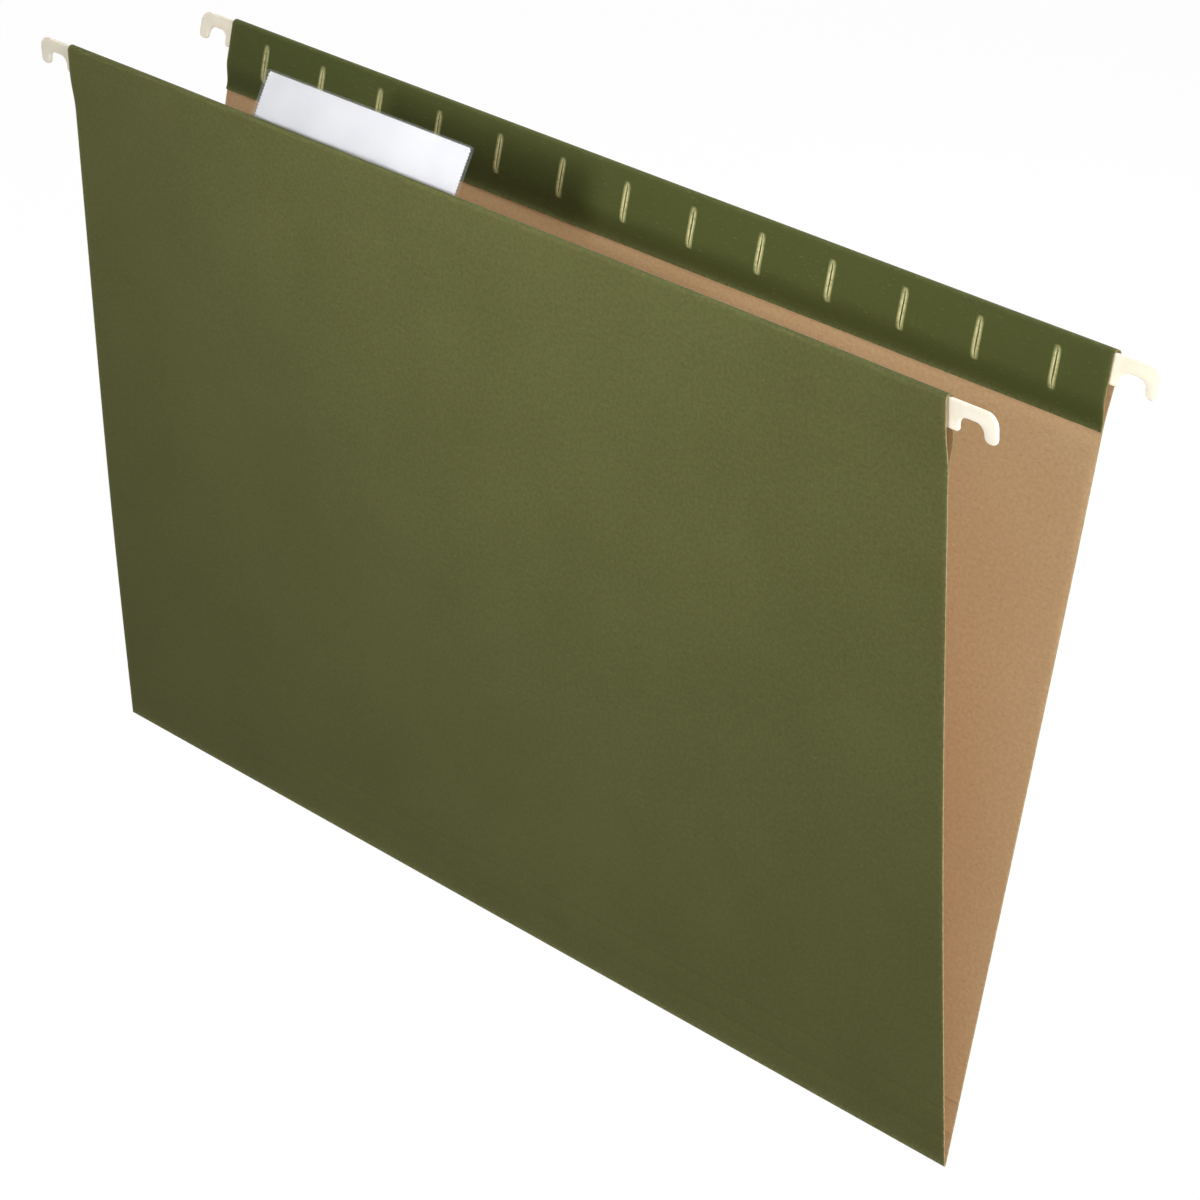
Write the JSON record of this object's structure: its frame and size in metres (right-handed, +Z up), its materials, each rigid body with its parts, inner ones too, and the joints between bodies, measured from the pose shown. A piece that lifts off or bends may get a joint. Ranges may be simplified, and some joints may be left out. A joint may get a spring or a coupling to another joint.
{
  "type": "hanging file folder",
  "caption": "Hanging file folder of two-tone card open as a V, with steel rods in its hems, coated hooks that rest on drawer rails, and a clear label tab in its hem slits.",
  "frame": {"origin": "middle of the underside of the bottom fold", "axes": "+X along the fold, to the right as seen from the front; +Y from the front half to the back half; +Z up"},
  "size_m": [0.408, 0.0666, 0.2482],
  "materials": {
    "green_card": "matte",
    "kraft_card": "matte",
    "glue": "satin",
    "rod_steel": "satin",
    "hook_coat": "satin",
    "clear_plastic": "gloss",
    "label_paper": "matte"
  },
  "bodies": {
    "back_half": {"back_cover": "green_card", "back_liner": "kraft_card", "back_hem_glue": "glue", "bottom_fold": "green_card"},
    "front_half": {"front_cover": "green_card", "front_liner": "kraft_card", "front_hem_glue": "glue", "tab_foot": "clear_plastic"},
    "back_rod": {"back_rod": "rod_steel", "back_left_tip": "hook_coat", "back_right_tip": "hook_coat"},
    "front_rod": {"front_rod": "rod_steel", "front_left_tip": "hook_coat", "front_right_tip": "hook_coat"},
    "tab": {"tab_pocket": "clear_plastic"},
    "label": {"tab_insert": "label_paper"}
  },
  "joints": [
    {"name": "front_fold", "type": "hinge", "parent": "back_half", "child": "front_half", "pos_m": [0, 0, 0.00035], "axis": [1, 0, 0], "range_deg": [-13, 164]},
    {"name": "back_rod_slide", "type": "slide", "parent": "back_half", "child": "back_rod", "axis": [1, 0, 0], "range_m": [-0.002, 0.002]},
    {"name": "front_rod_slide", "type": "slide", "parent": "front_half", "child": "front_rod", "axis": [1, 0, 0], "range_m": [-0.002, 0.002]},
    {"name": "tab_tilt", "type": "hinge", "parent": "front_half", "child": "tab", "pos_m": [-0.05625, -0.03019, 0.23024], "axis": [-1, 0, 0], "range_deg": [-28, 8], "stiffness_Nm_per_rad": 0.01},
    {"name": "label_slide", "type": "slide", "parent": "tab", "child": "label", "axis": [1, 0, 0], "range_m": [0, 0.095]}
  ]
}
